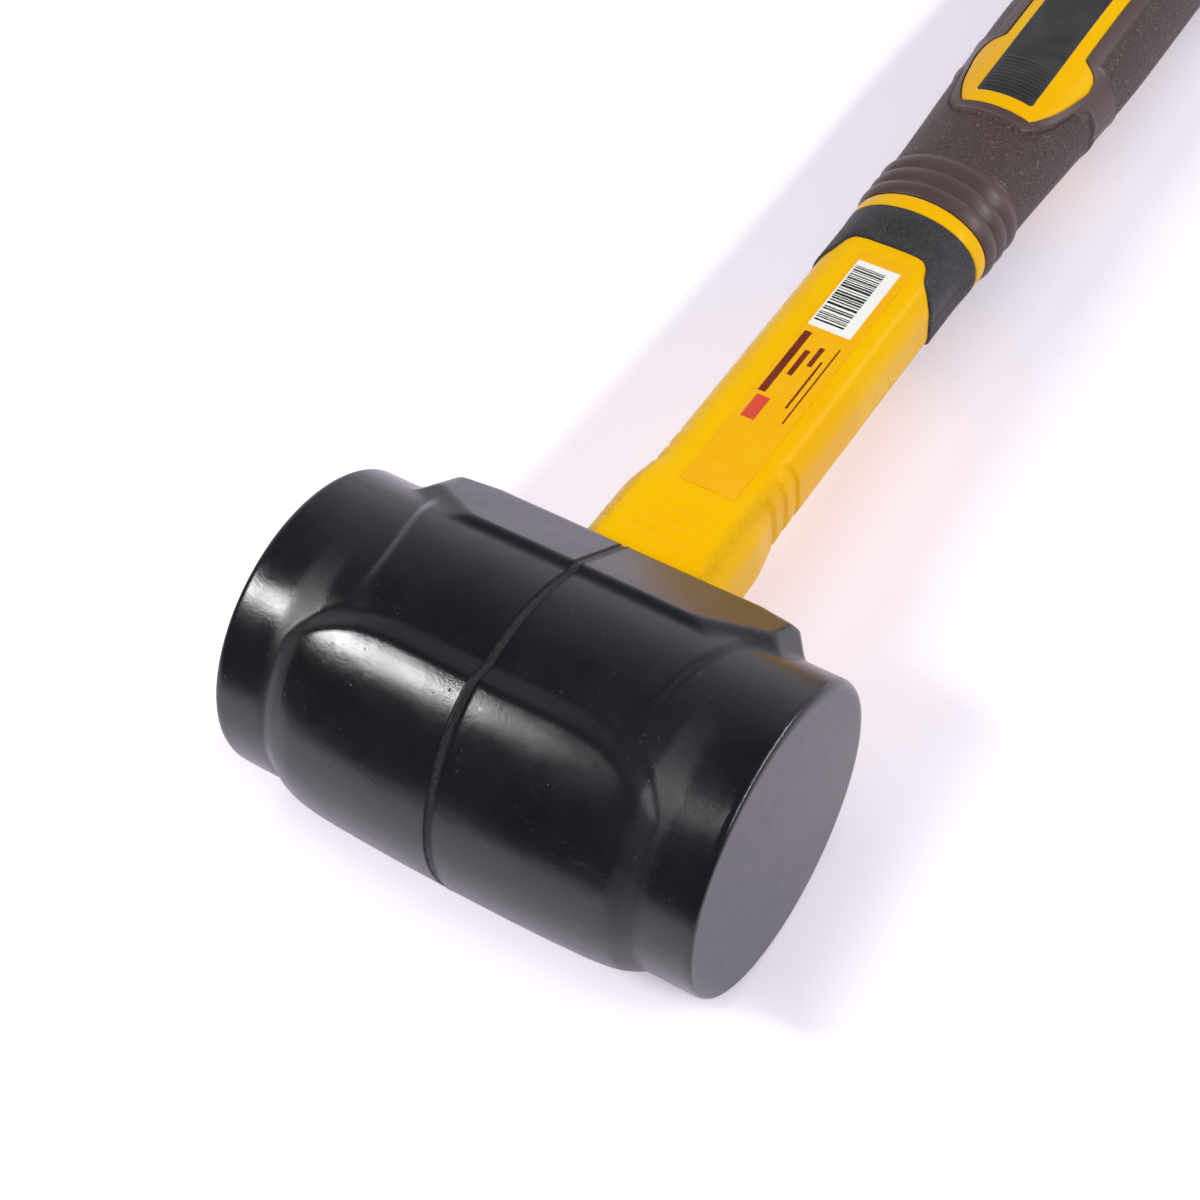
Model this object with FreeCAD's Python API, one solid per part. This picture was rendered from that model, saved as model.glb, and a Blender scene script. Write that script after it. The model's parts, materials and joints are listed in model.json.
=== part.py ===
import FreeCAD, Part

# Rubber mallet with a jacketed fibreglass handle, lying on its side.
# Each piece is built about the mallet's own axes: X along the head, Y along the handle
# from the head to the butt, Z through the head, origin where the two axes cross.
# The finished pieces are then tipped about X until head and butt both rest, and moved
# so that the origin is on the surface below the middle of the mallet.

import math
import os

from FreeCAD import Vector

# Rubber head: a round barrel, a cheek opposite the handle and a boss around it
head_length = 104.0
face_radius = 30.0
face_bevel_length = 1.5        # run of the edge between face and lip
lip_radius = 31.3
valley_radius = 32.0
valley_half_length = 29.5
valley_step_length = 1.5
barrel_offset = 0.8            # of lips and valley towards the handle, along Y
cheek_radius = 34.2
cheek_shoulder_radius = 33.2
cheek_shoulder_half_length = 34.5
cheek_half_length = 41.0
cheek_facet_start = 18.0       # degrees from Z, where the facet leaves the barrel
cheek_facet_end = 29.0         # degrees from Z, where it reaches the cheek
boss_height = 34.2
boss_half_width = 17.5
boss_crown_half_length = 29.0  # of the level top
boss_half_length = 38.0
boss_crown_drop = 2.0          # from the level top to the shoulders
boss_end_run = 4.5             # length of each sloping end
boss_end_drop = 6.0
bevel_foot_height = 18.2       # where each bevelled side ends, along Y
bevel_foot_half_width = 28.6   # and across
bevel_undercut = 4.2
boss_corner_start = 27.0       # half length at which the corners start to turn in
boss_corner_half_width = 20.5  # half width left at the shoulders
boss_edge_round = 1.2
socket_floor = -21.0

# Handle: fibreglass core in a plastic jacket with rounded rectangle sections
core_half_width = 8.5
core_half_thickness = 5.5
core_corner = 3.0
core_start = -16.0
core_end = 266.0
bond_thickness = 0.5
stub_half_width = 15.2
stub_half_thickness = 10.0
stub_corner = 6.5
stub_end_gap = 0.5
key_count = 3                  # adhesive keying grooves around the stub
key_pitch = 14.0
key_width = 2.0
key_depth = 0.8
root_end = 54.0
shaft_start = 66.0
shaft_half_width = 14.0
shaft_half_thickness = 9.75
shaft_corner = 7.0
notch_count = 3                # nicks down each edge of the shaft
notch_first = 64.0
notch_pitch = 4.7
notch_radius = 1.8
notch_depth = 0.6
tail_half_width = 12.5
tail_half_thickness = 8.5
tail_corner = 5.5
tail_end = 274.0

# Collar that covers the joint between shaft and ring
collar_start = 128.5
collar_proud = 0.6
collar_wall = 1.9
collar_notch_half_width = 10.2
collar_notch_end = 138.3
collar_notch_round = 2.5

# Ring of the jacket that the grip butts against
ring_start = 149.0
ring_length = 4.5
ring_half_width = 16.0
ring_half_thickness = 12.0
ring_edge_round = 0.7

# Grip: elliptical sections, with a window in front and back
neck_half_width = 16.2
neck_half_thickness = 12.1
neck_end = 168.0
palm_start = 235.0
palm_end = 262.0
palm_half_width = 19.0
palm_half_thickness = 14.3
butt_start = 284.0
butt_half_width = 19.6
butt_half_thickness = 14.8
handle_end = 300.0
butt_round = 7.0
ridge_count = 3                # rounded ridges next to the ring
ridge_pitch = 4.8
ridge_width = 3.6
ridge_height = 0.7
ridge_round = 0.6
hang_hole_at = 286.0
hang_hole_radius = 4.5
window_start = 188.3
window_mouth_half_width = 8.2
window_flank = 12.2            # half width half way up the flared mouth
window_shoulder_at = 207.5
window_shoulder_half_width = 14.2
window_step_at = 213.4
window_waist = 10.0
window_end = 270.0
badge_margin = 3.9             # from the ends of the window
badge_half_width = 7.0
badge_thickness = 2.6
badge_corner = 1.2

# Clear film label on the shaft, a little off the middle
label_start = 59.2
label_end = 134.8
label_half_width = 6.3
label_offset = 1.7
label_thickness = 0.15


def rounded_rectangle(y, half_width, half_thickness, corner):
    """Closed wire across the handle at y."""
    flat_x = half_width - corner
    flat_z = half_thickness - corner
    edges = []
    for quarter, (side_x, side_z) in enumerate([(1, 1), (-1, 1), (-1, -1), (1, -1)]):
        centre = Vector(side_x * flat_x, y, side_z * flat_z)
        points = []
        for part in (0.0, 0.5, 1.0):
            angle = math.radians(90 * (quarter + part))
            points.append(centre + Vector(math.cos(angle), 0, math.sin(angle)) * corner)
        edges.append(points)
    wire_edges = []
    for quarter, points in enumerate(edges):
        wire_edges.append(Part.Arc(*points).toShape())
        wire_edges.append(Part.LineSegment(points[2], edges[(quarter + 1) % 4][0]).toShape())
    return Part.Wire(wire_edges)


def ellipse(y, half_width, half_thickness):
    """Closed elliptical wire across the handle at y."""
    curve = Part.Ellipse(Vector(half_width, y, 0), Vector(0, y, half_thickness), Vector(0, y, 0))
    return Part.Wire([curve.toShape()])


def bar(start, end, half_width, half_thickness, corner):
    """Straight bar with a rounded rectangle section."""
    face = Part.Face(rounded_rectangle(start, half_width, half_thickness, corner))
    return face.extrude(Vector(0, end - start, 0))


def slab(points, direction):
    """Prism of a closed outline, as long each way as direction."""
    outline = Part.makePolygon([point - direction for point in points + points[:1]])
    return Part.Face(outline).extrude(direction * 2)


def mirrored_pair(points):
    """Outline points followed by their mirror images in z, for a symmetric section."""
    return points + [Vector(p.x, p.y, -p.z) for p in reversed(points)]


def circle_across_head(x, y, radius):
    """Circular wire across the head at x, centred at height y towards the handle."""
    return Part.Wire([Part.Circle(Vector(x, y, 0), Vector(1, 0, 0), radius).toShape()])


def barrel():
    """Round body of the head: a raised middle, a lip at each end and the flat faces."""
    lip_end = head_length / 2 - face_bevel_length
    step_end = valley_half_length + valley_step_length
    half_stations = [
        (valley_half_length, barrel_offset, valley_radius),
        (step_end, barrel_offset, lip_radius),
        (lip_end, barrel_offset, lip_radius),
        (head_length / 2, 0.0, face_radius),
    ]
    stations = [(-x, y, radius) for x, y, radius in reversed(half_stations)]
    stations += half_stations
    wires = [circle_across_head(*station) for station in stations]
    return Part.makeLoft(wires, True, True)


def cheek():
    """Bulge opposite the handle, faded into the barrel by a flat facet on each side."""
    shoulder = cheek_shoulder_half_length
    root_radius = lip_radius - 1.0
    run_middle = shoulder + (cheek_half_length - shoulder) * 0.4
    run_radius = root_radius + (cheek_shoulder_radius - root_radius) * 0.35
    inner_radius = valley_radius / 2
    profile = [
        Part.Arc(Vector(-shoulder, cheek_shoulder_radius, 0), Vector(0, cheek_radius, 0),
                 Vector(shoulder, cheek_shoulder_radius, 0)),
        Part.Arc(Vector(shoulder, cheek_shoulder_radius, 0), Vector(run_middle, run_radius, 0),
                 Vector(cheek_half_length, root_radius, 0)),
        Part.LineSegment(Vector(cheek_half_length, root_radius, 0),
                         Vector(cheek_half_length, inner_radius, 0)),
        Part.LineSegment(Vector(cheek_half_length, inner_radius, 0),
                         Vector(-cheek_half_length, inner_radius, 0)),
        Part.LineSegment(Vector(-cheek_half_length, inner_radius, 0),
                         Vector(-cheek_half_length, root_radius, 0)),
        Part.Arc(Vector(-cheek_half_length, root_radius, 0), Vector(-run_middle, run_radius, 0),
                 Vector(-shoulder, cheek_shoulder_radius, 0)),
    ]
    face = Part.Face(Part.Wire([edge.toShape() for edge in profile]))
    ring = face.revolve(Vector(0, 0, 0), Vector(1, 0, 0), 360)
    facet = []
    for angle, radius in ((cheek_facet_start, valley_radius - 0.2), (cheek_facet_end, cheek_radius)):
        turn = math.radians(angle)
        facet.append(Vector(0, -radius * math.sin(turn), radius * math.cos(turn)))
    along = (facet[1] - facet[0]).normalize()
    far = facet[0] + along * head_length
    near = Vector(0, 0, facet[0].z - along.z / along.y * facet[0].y)
    side = mirrored_pair([near, far])
    return ring.common(slab(side, Vector(head_length, 0, 0)))


def boss():
    """Raised block around the handle, with bevelled sides and sloping ends."""
    section = mirrored_pair([
        Vector(0, boss_height, boss_half_width),
        Vector(0, bevel_foot_height, bevel_foot_half_width),
        Vector(0, bevel_foot_height - bevel_undercut, bevel_foot_half_width - 0.8),
        Vector(0, 0, boss_half_width),
    ])
    reach = boss_half_length + boss_end_run
    shoulder_height = boss_height - boss_crown_drop
    half_side = [
        Vector(boss_crown_half_length, boss_height, 0), Vector(boss_half_length, shoulder_height, 0),
        Vector(reach, shoulder_height - boss_end_drop, 0), Vector(reach, 0, 0),
    ]
    side = half_side + [Vector(-p.x, p.y, 0) for p in reversed(half_side)]
    turned_in = bevel_foot_half_width - boss_corner_half_width
    slope = turned_in / (boss_half_length - boss_corner_start)
    plan = mirrored_pair([
        Vector(-reach, 0, boss_corner_half_width - slope * boss_end_run),
        Vector(-boss_corner_start, 0, bevel_foot_half_width),
        Vector(boss_corner_start, 0, bevel_foot_half_width),
        Vector(reach, 0, boss_corner_half_width - slope * boss_end_run),
    ])
    block = slab(section, Vector(head_length, 0, 0))
    block = block.common(slab(side, Vector(0, 0, head_length)))
    block = block.common(slab(plan, Vector(0, head_length, 0)))
    outer = [edge for edge in block.Edges if edge.BoundBox.YMax > bevel_foot_height - 0.1]
    return block.makeFillet(boss_edge_round, outer)


def socket():
    """Blind hole in the head for the handle and its adhesive."""
    return bar(socket_floor, boss_height, stub_half_width + bond_thickness,
               stub_half_thickness + bond_thickness, stub_corner + bond_thickness)


def shaft(skin=0.0):
    """Outside of the jacket from the head to the ring, grown by skin."""
    root_width = stub_half_width + bond_thickness
    root_thickness = stub_half_thickness + bond_thickness
    stations = [
        (boss_height, root_width, root_thickness),
        (root_end, root_width, root_thickness),
        (shaft_start, shaft_half_width, shaft_half_thickness),
        (ring_start, shaft_half_width, shaft_half_thickness),
    ]
    wires = []
    for y, half_width, half_thickness in stations:
        wires.append(rounded_rectangle(y, half_width + skin, half_thickness + skin,
                                       shaft_corner + skin))
    return Part.makeLoft(wires, True, True)


def stub():
    """End of the jacket that is bonded into the head, with its keying grooves."""
    start = socket_floor + stub_end_gap
    body = bar(start, boss_height, stub_half_width, stub_half_thickness, stub_corner)
    middle = (start + boss_height) / 2
    for index in range(key_count):
        y = middle + (index - (key_count - 1) / 2) * key_pitch
        blank = bar(y - key_width / 2, y + key_width / 2, stub_half_width + 1,
                    stub_half_thickness + 1, stub_corner + 1)
        kept = bar(y - key_width / 2, y + key_width / 2, stub_half_width - key_depth,
                   stub_half_thickness - key_depth, stub_corner - key_depth)
        body = body.cut(blank.cut(kept))
    return body


def edge_notches():
    """Nicks down both edges of the shaft."""
    cutters = []
    for index in range(notch_count):
        y = notch_first + index * notch_pitch
        for side in (-1, 1):
            x = side * (shaft_half_width + notch_radius - notch_depth)
            foot = Vector(x, y, -shaft_half_thickness)
            cutters.append(Part.makeCylinder(notch_radius, 2 * shaft_half_thickness, foot,
                                             Vector(0, 0, 1)))
    return cutters


def collar():
    """Moulded band on the shaft below the ring, notched in front and at the back."""
    outer = bar(collar_start, ring_start, shaft_half_width + collar_proud,
                shaft_half_thickness + collar_proud, shaft_corner + collar_proud)
    seat_inset = collar_wall - collar_proud
    seat = bar(collar_start, ring_start, shaft_half_width - seat_inset,
               shaft_half_thickness - seat_inset, shaft_corner - seat_inset)
    length = collar_notch_end - collar_start
    notch = Part.makeBox(2 * collar_notch_half_width, 2 * length, 4 * shaft_half_thickness,
                         Vector(-collar_notch_half_width, collar_start - length,
                                -2 * shaft_half_thickness))
    corners = [edge for edge in notch.Edges
               if edge.BoundBox.ZLength > shaft_half_thickness
               and edge.BoundBox.YMin > collar_start]
    notch = notch.makeFillet(collar_notch_round, corners)
    return outer.cut(seat).cut(notch)


def ring():
    """Proud ring of the jacket between collar and grip."""
    face = Part.Face(ellipse(ring_start, ring_half_width, ring_half_thickness))
    band = face.extrude(Vector(0, ring_length, 0))
    rims = [edge for edge in band.Edges if edge.BoundBox.YLength < ring_length / 2]
    return band.makeFillet(ring_edge_round, rims)


def grip_outside():
    """Whole outer form of the grip, solid."""
    start = ring_start + ring_length
    swell = (neck_end + palm_start) / 2
    swell_share = 0.57
    stations = [
        (start, ring_half_width, ring_half_thickness),
        (neck_end, neck_half_width, neck_half_thickness),
        (swell, neck_half_width + swell_share * (palm_half_width - neck_half_width),
         neck_half_thickness + swell_share * (palm_half_thickness - neck_half_thickness)),
        (palm_start, palm_half_width, palm_half_thickness),
        (palm_end, palm_half_width, palm_half_thickness),
        (butt_start, butt_half_width, butt_half_thickness),
        (handle_end, butt_half_width, butt_half_thickness),
    ]
    body = Part.makeLoft([ellipse(*station) for station in stations], True, False)
    end_rim = [edge for edge in body.Edges if edge.BoundBox.YMin > handle_end - 0.5]
    return body.makeFillet(butt_round, end_rim)


def ridges():
    """Rounded ridges around the neck of the grip."""
    bands = []
    for index in range(ridge_count):
        y = ring_start + ring_length + ridge_pitch * (index + 0.5) - ridge_width / 2
        face = Part.Face(ellipse(y, neck_half_width + ridge_height,
                                 neck_half_thickness + ridge_height))
        band = face.extrude(Vector(0, ridge_width, 0))
        rims = [edge for edge in band.Edges if edge.BoundBox.YLength < ridge_width / 2]
        bands.append(band.makeFillet(ridge_round, rims))
    return bands


def window_prism(foot, height):
    """Column with the outline of the grip's window, from z = foot upwards."""
    def at(x, y):
        return Vector(x, y, foot)
    mouth = (window_mouth_half_width, window_start)
    flank = (window_flank, (window_start + window_shoulder_at) / 2)
    shoulder = (window_shoulder_half_width, window_shoulder_at)
    step_width = (window_shoulder_half_width + window_waist) / 2
    crown = (window_shoulder_half_width - 0.7, (window_shoulder_at + window_step_at) / 2 + 1.2)
    step = (step_width, window_step_at)
    waist = (window_waist, window_step_at)
    straight_end = window_end - window_waist
    edges = [Part.LineSegment(at(-mouth[0], mouth[1]), at(*mouth))]
    for side in (1, -1):
        edges += [
            Part.Arc(at(side * mouth[0], mouth[1]), at(side * flank[0], flank[1]),
                     at(side * shoulder[0], shoulder[1])),
            Part.Arc(at(side * shoulder[0], shoulder[1]), at(side * crown[0], crown[1]),
                     at(side * step[0], step[1])),
            Part.LineSegment(at(side * step[0], step[1]), at(side * waist[0], waist[1])),
            Part.LineSegment(at(side * waist[0], waist[1]), at(side * waist[0], straight_end)),
        ]
    edges.append(Part.Arc(at(-window_waist, straight_end), at(0, window_end),
                          at(window_waist, straight_end)))
    ordered = Part.__sortEdges__([edge.toShape() for edge in edges])
    return Part.Face(Part.Wire(ordered)).extrude(Vector(0, 0, height))


def badge(outside):
    """Inlay in the window, flush with the outside of the grip."""
    start = window_start + badge_margin
    length = window_end - badge_margin - start
    floor = palm_half_thickness - badge_thickness - (palm_half_thickness - neck_half_thickness) * 0.5
    block = Part.makeBox(2 * badge_half_width, length, palm_half_thickness,
                         Vector(-badge_half_width, start, floor))
    corners = [edge for edge in block.Edges if edge.BoundBox.ZLength > palm_half_thickness / 2]
    return block.makeFillet(badge_corner, corners).common(outside)


def label():
    """Film label that follows the front of the shaft."""
    film = shaft(label_thickness).cut(shaft())
    window = Part.makeBox(2 * label_half_width, label_end - label_start, 2 * shaft_half_thickness,
                          Vector(label_offset - label_half_width, label_start, 0))
    return film.common(window)


def back(shape):
    """The same piece on the back of the handle."""
    return shape.mirror(Vector(0, 0, 0), Vector(0, 0, 1))


def build():
    """All pieces by node name, about the mallet's own axes."""
    outside = grip_outside()
    tail_start = ring_start + ring_length
    core = bar(core_start, core_end, core_half_width, core_half_thickness, core_corner)
    collar_band = collar()
    badge_front = badge(outside)
    badge_back = back(badge_front)

    pad_front = window_prism(tail_half_thickness / 2, palm_half_thickness).common(outside)
    form = stub().fuse([shaft().cut(edge_notches()), ring()])
    form = form.fuse(bar(tail_start, tail_end, tail_half_width, tail_half_thickness, tail_corner))
    form = form.fuse([pad_front, back(pad_front)])
    jacket = form.cut([core, collar_band, badge_front, badge_back])

    hang_hole = Part.makeCylinder(hang_hole_radius, 4 * butt_half_thickness,
                                  Vector(0, hang_hole_at, -2 * butt_half_thickness))
    grip = outside.fuse(ridges()).cut([form, hang_hole])

    head = barrel().fuse([cheek(), boss()]).cut(socket())
    adhesive = socket().cut([form, core])
    return {
        "rubber_head": head.removeSplitter(),
        "socket_adhesive": adhesive,
        "core_rod": core,
        "shaft_jacket": jacket.removeSplitter(),
        "collar": collar_band,
        "grip": grip,
        "badge_front": badge_front,
        "badge_back": badge_back,
        "shaft_label": label(),
    }


def tipped(shape, angle):
    """Copy of a piece with the handle end dipped by an angle in degrees."""
    copy = shape.copy()
    copy.rotate(Vector(0, 0, 0), Vector(1, 0, 0), -angle)
    return copy


def rest_tilt(head, grip):
    """Angle in degrees by which the handle dips when head and butt both rest."""
    tilt = 0.0
    for _ in range(4):
        head_low = tipped(head, tilt).optimalBoundingBox(False, False).ZMin
        grip_low = tipped(grip, tilt).optimalBoundingBox(False, False).ZMin
        tilt += math.degrees(math.atan((grip_low - head_low) / handle_end))
    return tilt


def lay_down(nodes):
    """Tip the pieces to their resting attitude and stand them on z = 0."""
    tilt = rest_tilt(nodes["rubber_head"], nodes["grip"])
    turned = {name: tipped(shape, tilt) for name, shape in nodes.items()}
    box = Part.makeCompound(list(turned.values())).optimalBoundingBox(False, False)
    shift = Vector(-box.Center.x, -box.Center.y, -box.ZMin)
    print("handle dips by", round(tilt, 4), "degrees; head axis at y", round(shift.y, 4),
          "z", round(shift.z, 4))
    for shape in turned.values():
        shape.translate(shift)
    return turned


for node, piece in lay_down(build()).items():
    print(node, len(piece.Solids), "solid, valid", piece.isValid(), round(piece.Volume), "mm3")
    piece.exportStep("parts/" + node + ".step")
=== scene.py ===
import json
import math

import bmesh
import bpy
import numpy as np
from mathutils import Matrix, Vector, noise


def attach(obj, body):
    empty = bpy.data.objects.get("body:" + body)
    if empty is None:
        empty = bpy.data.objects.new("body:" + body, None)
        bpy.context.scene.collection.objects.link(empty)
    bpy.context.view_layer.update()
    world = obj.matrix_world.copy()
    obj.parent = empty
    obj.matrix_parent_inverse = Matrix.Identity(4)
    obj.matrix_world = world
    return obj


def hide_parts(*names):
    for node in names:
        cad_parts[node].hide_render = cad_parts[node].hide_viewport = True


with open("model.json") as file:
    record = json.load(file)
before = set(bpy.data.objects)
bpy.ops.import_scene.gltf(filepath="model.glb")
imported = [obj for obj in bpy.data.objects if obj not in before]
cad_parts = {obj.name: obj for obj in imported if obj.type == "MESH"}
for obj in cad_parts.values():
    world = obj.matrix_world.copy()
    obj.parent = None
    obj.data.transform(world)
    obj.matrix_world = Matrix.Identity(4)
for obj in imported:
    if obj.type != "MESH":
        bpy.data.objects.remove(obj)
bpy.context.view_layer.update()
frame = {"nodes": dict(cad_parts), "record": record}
print("frame loaded")

# The mallet has its own axes: across the head, along the handle, up through both.
# Everything below is written in millimetres on them and laid into the frame by layDown.
mounts = {mount["name"]: mount for mount in frame["record"]["mounts"]}
headCentre = Vector(mounts["striking_face_right"]["pos_m"])
headCentre.x = 0.0
acrossAxis = Vector((1.0, 0.0, 0.0))
upAxis = Vector(mounts["hang_hole"]["axis"]).normalized()
handleAxis = upAxis.cross(acrossAxis)
axes = np.array([acrossAxis, handleAxis, upAxis])
mm = 0.001


def layDown(points):
    return np.asarray(points, dtype=float) @ axes * mm + np.array(headCentre)


def layDirection(direction):
    return Vector(np.asarray(direction, dtype=float) @ axes).normalized()


shot = {
    "place": (163.85, -197.54, 348.68),
    "aim": (-6.22, 31.67, 0.0),
    "roll": -5.117,       # degrees, right side of the picture down
    "lens": 69.33,
    "sensor": 36.0,
}


def addCamera():
    place = np.array(shot["place"])
    forward = layDirection(np.array(shot["aim"]) - place)
    level = forward.cross(upAxis).normalized()
    raised = level.cross(forward)
    roll = math.radians(shot["roll"])
    right = level * math.cos(roll) + raised * math.sin(roll)
    top = right.cross(forward)
    turn = Matrix((right, top, -forward)).transposed()
    data = bpy.data.cameras.new("studioCamera")
    data.lens = shot["lens"]
    data.sensor_width = shot["sensor"]
    data.clip_start = 0.01
    camera = bpy.data.objects.new("studioCamera", data)
    camera.matrix_world = Matrix.Translation(Vector(layDown([place])[0])) @ turn.to_4x4()
    bpy.context.scene.collection.objects.link(camera)
    bpy.context.scene.camera = camera


addCamera()
print("camera placed")


def softMax(a, b, blend):
    overlap = np.maximum(blend - np.abs(a - b), 0.0) / blend
    return np.maximum(a, b) + overlap ** 3 * blend / 6


def softMin(a, b, blend):
    return -softMax(-a, -b, blend)


def easeBetween(low, high, value):
    share = np.clip((value - low) / (high - low), 0.0, 1.0)
    return share * share * (3 - 2 * share)


def bump(centre, width, value):
    return np.exp(-((value - centre) / width) ** 2)


def alongCurve(knots, value):
    # smooth curve through (place, size) knots, level slopes where the knots turn
    places = np.array([knot[0] for knot in knots], dtype=float)
    sizes = np.array([knot[1] for knot in knots], dtype=float)
    steps = np.diff(sizes) / np.diff(places)
    slopes = np.zeros(len(places))
    slopes[0] = steps[0]
    slopes[-1] = steps[-1]
    same = steps[:-1] * steps[1:] > 0
    slopes[1:-1] = np.where(same, 2 * steps[:-1] * steps[1:] / (steps[:-1] + steps[1:] + 1e-12), 0.0)
    value = np.clip(np.asarray(value, dtype=float), places[0], places[-1])
    part = np.clip(np.searchsorted(places, value, side="right") - 1, 0, len(places) - 2)
    width = places[part + 1] - places[part]
    t = (value - places[part]) / width
    start = (2 * t ** 3 - 3 * t ** 2 + 1) * sizes[part] + (t ** 3 - 2 * t ** 2 + t) * width * slopes[part]
    end = (3 * t ** 2 - 2 * t ** 3) * sizes[part + 1] + (t ** 3 - t ** 2) * width * slopes[part + 1]
    return start + end


def spaced(zones):
    # places from zones of (start, end, spacing), each place once
    places = []
    for start, end, spacing in zones:
        count = max(1, int(round((end - start) / spacing)))
        places += list(np.linspace(start, end, count + 1))
    return np.unique(np.round(places, 5))


def gridFaces(rows, columns, wrapColumns, wrapRows=False):
    faces = []
    for row in range(rows if wrapRows else rows - 1):
        nextRow = (row + 1) % rows
        for column in range(columns if wrapColumns else columns - 1):
            nextColumn = (column + 1) % columns
            faces.append((row * columns + column, row * columns + nextColumn,
                          nextRow * columns + nextColumn, nextRow * columns + column))
    return faces


def addPiece(name, points, faces, masks=None, sharpAngle=50.0):
    mesh = bpy.data.meshes.new(name)
    mesh.from_pydata([tuple(point) for point in layDown(points)], [], faces)
    for maskName, values in (masks or {}).items():
        mask = mesh.attributes.new(maskName, "FLOAT", "POINT")
        mask.data.foreach_set("value", np.asarray(values, dtype=np.float32).ravel())
    mesh.polygons.foreach_set("use_smooth", [True] * len(mesh.polygons))
    piece = bpy.data.objects.new(name, mesh)
    bpy.context.scene.collection.objects.link(piece)
    tidyNormals(piece, sharpAngle)
    return piece


def tidyNormals(piece, sharpAngle):
    form = bmesh.new()
    form.from_mesh(piece.data)
    bmesh.ops.recalc_face_normals(form, faces=form.faces)
    for edge in form.edges:
        if len(edge.link_faces) == 2:
            edge.smooth = edge.calc_face_angle(0.0) < math.radians(sharpAngle)
    form.to_mesh(piece.data)
    form.free()


def capRings(points, faces, ring, centre, shares):
    # closes a ring of point numbers towards a centre through smaller rings
    ring = list(ring)
    rim = np.array([points[index] for index in ring])
    centre = np.asarray(centre, dtype=float)
    for share in shares:
        first = len(points)
        points.extend(list(centre + (rim - centre) * share))
        for index in range(len(ring)):
            after = (index + 1) % len(ring)
            faces.append((ring[index], ring[after], first + after, first + index))
        ring = list(range(first, first + len(rim)))
    points.append(centre)
    for index in range(len(ring)):
        faces.append((ring[index], ring[(index + 1) % len(ring)], len(points) - 1))


def slabShell(top, bottom):
    # points and faces of a closed shell between two grids of the same size
    rows, columns = top.shape[:2]
    count = rows * columns
    faces = gridFaces(rows, columns, False)
    faces += [tuple(count + index for index in reversed(face)) for face in gridFaces(rows, columns, False)]
    rim = [column for column in range(columns)]
    rim += [row * columns + columns - 1 for row in range(1, rows)]
    rim += [(rows - 1) * columns + column for column in range(columns - 2, -1, -1)]
    rim += [row * columns for row in range(rows - 2, 0, -1)]
    for index, here in enumerate(rim):
        after = rim[(index + 1) % len(rim)]
        faces.append((here, here + count, after + count, after))
    return np.concatenate([top.reshape(-1, 3), bottom.reshape(-1, 3)]), faces


def slabPiece(name, top, bottom, masks=None, sharpAngle=50.0):
    points, faces = slabShell(top, bottom)
    if masks:
        masks = {key: np.concatenate([values.ravel(), values.ravel()]) for key, values in masks.items()}
    return addPiece(name, points, faces, masks, sharpAngle)


def cutAway(piece, cutter):
    modifier = piece.modifiers.new("cut", "BOOLEAN")
    modifier.operation = "DIFFERENCE"
    modifier.solver = "EXACT"
    modifier.object = cutter
    bpy.context.view_layer.update()
    cutMesh = bpy.data.meshes.new_from_object(piece.evaluated_get(bpy.context.evaluated_depsgraph_get()))
    piece.modifiers.clear()
    oldMesh = piece.data
    piece.data = cutMesh
    bpy.data.meshes.remove(oldMesh)
    bpy.data.objects.remove(cutter, do_unlink=True)


def finishPiece(piece, material, slotName, *nodes):
    piece.data.materials.clear()
    piece.data.materials.append(material)
    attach(piece, "root")
    if nodes:
        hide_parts(*nodes)


def unevenness(points, size, seed):
    # slow swell of a moulded surface, -1 to 1
    shift = Vector((seed * 7.31, seed * 3.17, seed * 5.53))
    return np.array([noise.noise(Vector(point) / size + shift) for point in points])


def newGroup(name, inputs, outputs):
    group = bpy.data.node_groups.new(name, "ShaderNodeTree")
    for label, value in inputs:
        socket = group.interface.new_socket(label, in_out="INPUT", socket_type="NodeSocketFloat")
        socket.default_value = value
    for label in outputs:
        group.interface.new_socket(label, in_out="OUTPUT", socket_type="NodeSocketFloat")
    return group, group.nodes.new("NodeGroupInput"), group.nodes.new("NodeGroupOutput")


def addNode(tree, kind, links=None, **settings):
    node = tree.nodes.new(kind)
    for key, value in settings.items():
        setattr(node, key, value)
    for socket, source in (links or {}).items():
        if isinstance(source, bpy.types.NodeSocket):
            tree.links.new(source, node.inputs[socket])
        else:
            node.inputs[socket].default_value = source
    return node


def calculate(tree, operation, first, second=None, third=None, clamp=False):
    links = {0: first}
    if second is not None:
        links[1] = second
    if third is not None:
        links[2] = third
    return addNode(tree, "ShaderNodeMath", links, operation=operation, use_clamp=clamp).outputs[0]


def remap(tree, value, fromLow, fromHigh, toLow=0.0, toHigh=1.0, smooth=False):
    kind = "SMOOTHSTEP" if smooth else "LINEAR"
    links = {"Value": value, "From Min": fromLow, "From Max": fromHigh, "To Min": toLow, "To Max": toHigh}
    return addNode(tree, "ShaderNodeMapRange", links, interpolation_type=kind).outputs[0]


def blendColours(tree, share, first, second):
    node = addNode(tree, "ShaderNodeMix", data_type="RGBA")
    for socket, source in ((node.inputs[0], share), (node.inputs[6], first), (node.inputs[7], second)):
        if isinstance(source, bpy.types.NodeSocket):
            tree.links.new(source, socket)
        else:
            socket.default_value = source
    return node.outputs[2]


def objectPlace(tree):
    return addNode(tree, "ShaderNodeTexCoord").outputs["Object"]


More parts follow.
